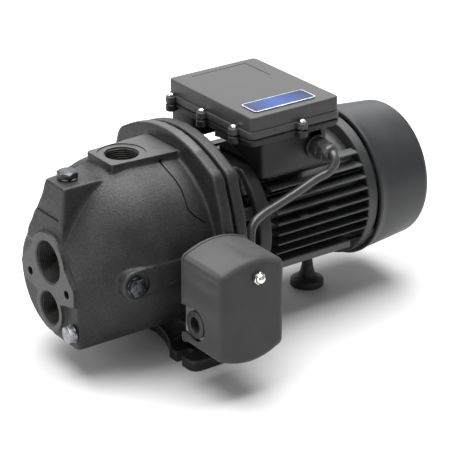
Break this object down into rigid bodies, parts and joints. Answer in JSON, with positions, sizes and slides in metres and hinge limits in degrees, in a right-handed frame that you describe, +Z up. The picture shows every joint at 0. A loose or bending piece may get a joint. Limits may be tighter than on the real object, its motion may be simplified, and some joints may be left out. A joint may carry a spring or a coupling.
{
  "type": "jet pump",
  "caption": "Electric jet pump: finned motor, cast pump end with two front ports and a top outlet, side pressure switch, terminal box with lid.",
  "frame": {"origin": "on the floor plane under the shaft axis, inside the base of the motor bracket foot", "axes": "+X along the shaft from the ports to the fan cover, +Y away from the pressure switch, +Z up"},
  "size_m": [0.419, 0.2785, 0.2359],
  "materials": {
    "casting": "matt black paint over fine sand-cast iron",
    "motor_alloy": "matt black paint over die-cast aluminium",
    "gasket": "pressed fibre sheet",
    "lid_shell": "satin grey moulding",
    "cover_shell": "satin dark grey paint on pressed steel",
    "switch_shell": "satin charcoal moulding",
    "rubber": "moulded black rubber",
    "black_plastic": "black nylon",
    "inner_plastic": "glass-filled moulding",
    "nickel": "bright plated",
    "steel": "zinc-plated or turned steel",
    "zinc": "galvanised sheet",
    "brass": "turned brass",
    "copper": "varnished copper wire",
    "badge": "plain blue plate, no lettering"
  },
  "bodies": {
    "pump": {"pump_casing": "casting", "casing_gasket": "gasket", "diffuser": "inner_plastic", "seal_seat": "gasket", "motor_bracket": "casting", "casing_bolt_1": "steel", "casing_bolt_2": "steel", "casing_bolt_3": "steel", "casing_bolt_4": "steel", "stator_frame": "motor_alloy", "stator_core": "steel", "stator_winding_front": "copper", "stator_winding_rear": "copper", "end_shield": "motor_alloy", "tie_rod_1": "steel", "tie_rod_2": "steel", "tie_rod_3": "steel", "tie_rod_4": "steel", "front_bearing_outer": "steel", "rear_bearing_outer": "steel", "fan_cover": "cover_shell", "rear_foot": "rubber", "terminal_box": "black_plastic", "terminal_box_gasket": "rubber", "run_capacitor": "black_plastic", "terminal_block": "inner_plastic", "gland_body": "black_plastic", "gland_nut": "black_plastic", "switch_base": "zinc", "bushing_front": "black_plastic", "bushing_rear": "black_plastic", "switch_nipple": "zinc", "switch_stud": "steel", "range_spring": "steel", "contact_block": "black_plastic", "switch_lead": "black_plastic"},
    "rotor": {"shaft": "steel", "rotor_core": "steel", "impeller": "inner_plastic", "impeller_nut": "brass", "seal_head": "rubber", "front_bearing_inner": "steel", "rear_bearing_inner": "steel", "cooling_fan": "inner_plastic"},
    "priming_plug_body": {"priming_plug": "steel"},
    "drain_plug_body": {"drain_plug": "nickel"},
    "side_plug_body": {"side_plug": "steel"},
    "lid": {"terminal_box_lid": "lid_shell", "lid_badge": "badge", "lid_screw_1": "nickel", "lid_screw_2": "nickel", "lid_screw_3": "nickel", "lid_screw_4": "nickel", "lid_screw_5": "nickel", "lid_screw_6": "nickel", "lid_screw_7": "nickel", "lid_screw_8": "nickel"},
    "switch_cover_body": {"switch_cover": "switch_shell"},
    "acorn_nut_body": {"acorn_nut": "nickel"}
  },
  "joints": [
    {"name": "shaft_spin", "type": "hinge", "parent": "pump", "child": "rotor", "pos_m": [0, 0, 0.11], "axis": [1, 0, 0], "continuous": true},
    {"name": "priming_plug_out", "type": "slide", "parent": "pump", "child": "priming_plug_body", "axis": [0, 0, 1], "range_m": [0, 0.03]},
    {"name": "drain_plug_out", "type": "slide", "parent": "pump", "child": "drain_plug_body", "axis": [-1, 0, 0], "range_m": [0, 0.03]},
    {"name": "side_plug_out", "type": "slide", "parent": "pump", "child": "side_plug_body", "axis": [0, -1, 0], "range_m": [0, 0.03]},
    {"name": "lid_lift", "type": "slide", "parent": "pump", "child": "lid", "axis": [0, 0, 1], "range_m": [0, 0.06]},
    {"name": "switch_cover_off", "type": "slide", "parent": "pump", "child": "switch_cover_body", "axis": [0, -1, 0], "range_m": [0, 0.075]},
    {"name": "acorn_nut_off", "type": "slide", "parent": "switch_cover_body", "child": "acorn_nut_body", "axis": [0, -1, 0], "range_m": [0, 0.02]}
  ]
}
